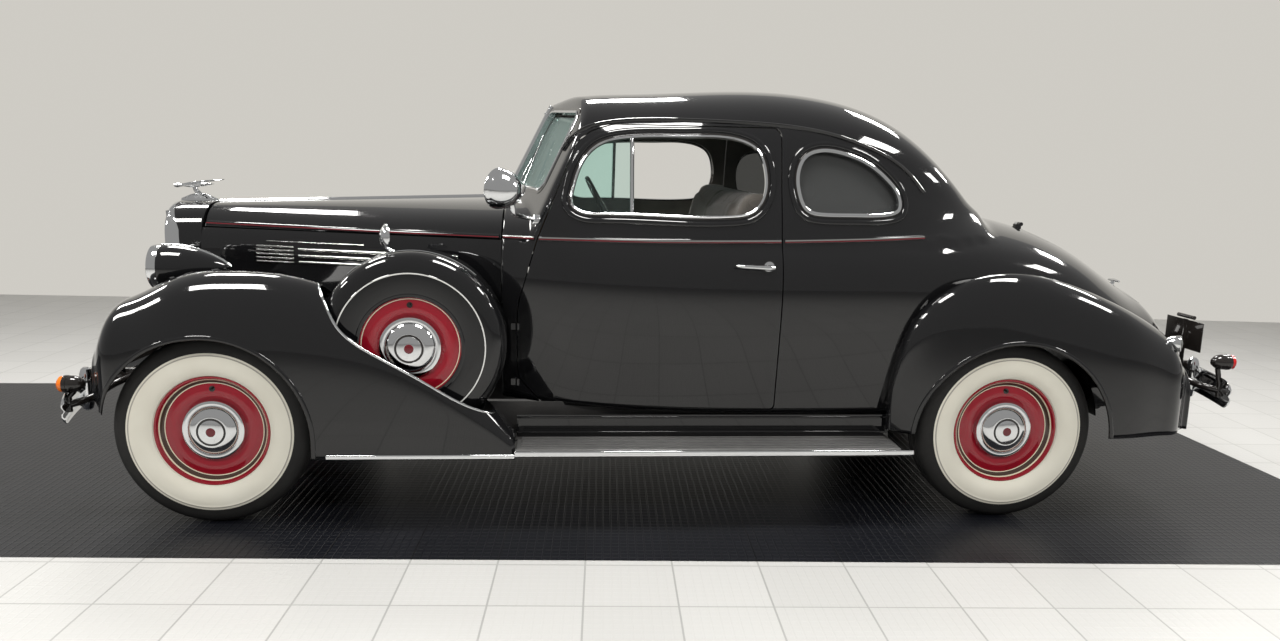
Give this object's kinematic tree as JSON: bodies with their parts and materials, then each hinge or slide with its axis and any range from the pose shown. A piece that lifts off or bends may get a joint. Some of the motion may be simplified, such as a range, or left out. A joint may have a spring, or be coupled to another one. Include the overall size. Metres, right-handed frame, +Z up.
{
  "type": "coupe car",
  "caption": "Two-door coupe car of the late 1930s with side-mounted spare wheels, opening doors, split hood, luggage lid, steering and turning wheels",
  "frame": {"origin": "on the ground, midway between the bumper faces, on the centre plane", "axes": "+X rearward, +Y to the car's right, +Z up"},
  "size_m": [5.07, 1.88, 1.7748],
  "materials": {
    "body_paint": "gloss",
    "chassis_paint": "satin",
    "bright_trim": "polished",
    "window_glass": "clear",
    "lamp_glass": "clear",
    "amber_lens": "gloss",
    "tyre_rubber": "matt",
    "wheel_red": "gloss",
    "step_rubber": "matt",
    "seat_cloth": "matt",
    "engine_iron": "satin",
    "raw_steel": "satin",
    "grip_plastic": "gloss",
    "floor_trim": "matt"
  },
  "bodies": {
    "car_body": {"body_shell": "body_paint", "hinge_leaves": "body_paint", "fixed_glass": "window_glass", "hood_hinge_rod": "bright_trim", "hood_side_panels": "body_paint", "louvres": "bright_trim", "radiator_shell": "body_paint", "grille_bars": "bright_trim", "radiator_core": "chassis_paint", "front_fenders": "body_paint", "rear_fenders": "body_paint", "running_boards": "step_rubber", "spare_covers": "body_paint", "spare_wheels": "wheel_red", "cover_mirrors": "bright_trim", "headlamps": "body_paint", "headlamp_lenses": "lamp_glass", "spotlight": "bright_trim", "tail_lamps": "bright_trim", "signal_lamps": "amber_lens", "front_bumper": "bright_trim", "rear_bumper": "bright_trim", "rear_plate": "bright_trim", "chassis_frame": "chassis_paint", "front_suspension": "chassis_paint", "rear_axle": "chassis_paint", "engine_block": "engine_iron", "drive_shaft": "raw_steel", "exhaust_system": "raw_steel", "fuel_tank": "chassis_paint", "floor_pan": "floor_trim", "front_seat": "seat_cloth", "rear_seat": "seat_cloth", "rear_shelf": "floor_trim", "steering_column": "chassis_paint", "dashboard": "body_paint", "hood_ornament": "bright_trim"},
    "left_door": {"door_left": "body_paint", "door_handle_left": "bright_trim", "vent_glass_left": "window_glass"},
    "right_door": {"door_right": "body_paint", "door_handle_right": "bright_trim", "vent_glass_right": "window_glass"},
    "rear_lid": {"luggage_lid": "body_paint", "lid_handle": "bright_trim"},
    "left_hood": {"hood_left": "body_paint"},
    "right_hood": {"hood_right": "body_paint"},
    "steering": {"steering_wheel": "grip_plastic"},
    "left_knuckle": {"knuckle_left": "chassis_paint"},
    "right_knuckle": {"knuckle_right": "chassis_paint"},
    "front_left_wheel": {"wheel_front_left": "wheel_red", "tyre_front_left": "tyre_rubber"},
    "front_right_wheel": {"wheel_front_right": "wheel_red", "tyre_front_right": "tyre_rubber"},
    "rear_left_wheel": {"wheel_rear_left": "wheel_red", "tyre_rear_left": "tyre_rubber"},
    "rear_right_wheel": {"wheel_rear_right": "wheel_red", "tyre_rear_right": "tyre_rubber"}
  },
  "joints": [
    {"name": "left_door_hinge", "type": "hinge", "parent": "car_body", "child": "left_door", "pos_m": [-0.651, -0.68624, 0.562], "axis": [0, 0, -1], "range_deg": [0, 65]},
    {"name": "right_door_hinge", "type": "hinge", "parent": "car_body", "child": "right_door", "pos_m": [-0.651, 0.68624, 0.562], "axis": [0, 0, 1], "range_deg": [0, 65]},
    {"name": "rear_lid_hinge", "type": "hinge", "parent": "car_body", "child": "rear_lid", "pos_m": [1.669, 0, 1.20833], "axis": [0, -1, 0], "range_deg": [0, 60]},
    {"name": "left_hood_hinge", "type": "hinge", "parent": "car_body", "child": "left_hood", "pos_m": [-2.0407, 0, 1.232], "axis": [-0.9993, 0, -0.0385], "range_deg": [0, 55]},
    {"name": "right_hood_hinge", "type": "hinge", "parent": "car_body", "child": "right_hood", "pos_m": [-2.0407, 0, 1.232], "axis": [0.9993, 0, 0.0385], "range_deg": [0, 55]},
    {"name": "steering_turn", "type": "hinge", "parent": "car_body", "child": "steering", "pos_m": [-0.269, -0.36, 1.199], "axis": [0.8829, 0, 0.4695], "range_deg": [-540, 540]},
    {"name": "left_kingpin", "type": "hinge", "parent": "car_body", "child": "left_knuckle", "pos_m": [-1.835, -0.64, 0.378], "axis": [0, 0, 1], "range_deg": [-30, 30]},
    {"name": "front_left_axle", "type": "hinge", "parent": "left_knuckle", "child": "front_left_wheel", "pos_m": [-1.835, -0.7495, 0.378], "axis": [0, 1, 0], "continuous": true},
    {"name": "rear_left_axle", "type": "hinge", "parent": "car_body", "child": "rear_left_wheel", "pos_m": [1.391, -0.762, 0.378], "axis": [0, 1, 0], "continuous": true},
    {"name": "right_kingpin", "type": "hinge", "parent": "car_body", "child": "right_knuckle", "pos_m": [-1.835, 0.64, 0.378], "axis": [0, 0, 1], "range_deg": [-30, 30]},
    {"name": "front_right_axle", "type": "hinge", "parent": "right_knuckle", "child": "front_right_wheel", "pos_m": [-1.835, 0.7495, 0.378], "axis": [0, 1, 0], "continuous": true},
    {"name": "rear_right_axle", "type": "hinge", "parent": "car_body", "child": "rear_right_wheel", "pos_m": [1.391, 0.762, 0.378], "axis": [0, 1, 0], "continuous": true}
  ],
  "couplings": [
    {"joint": "left_kingpin", "follows": "steering_turn", "ratio": 0.055556},
    {"joint": "right_kingpin", "follows": "steering_turn", "ratio": 0.055556}
  ]
}
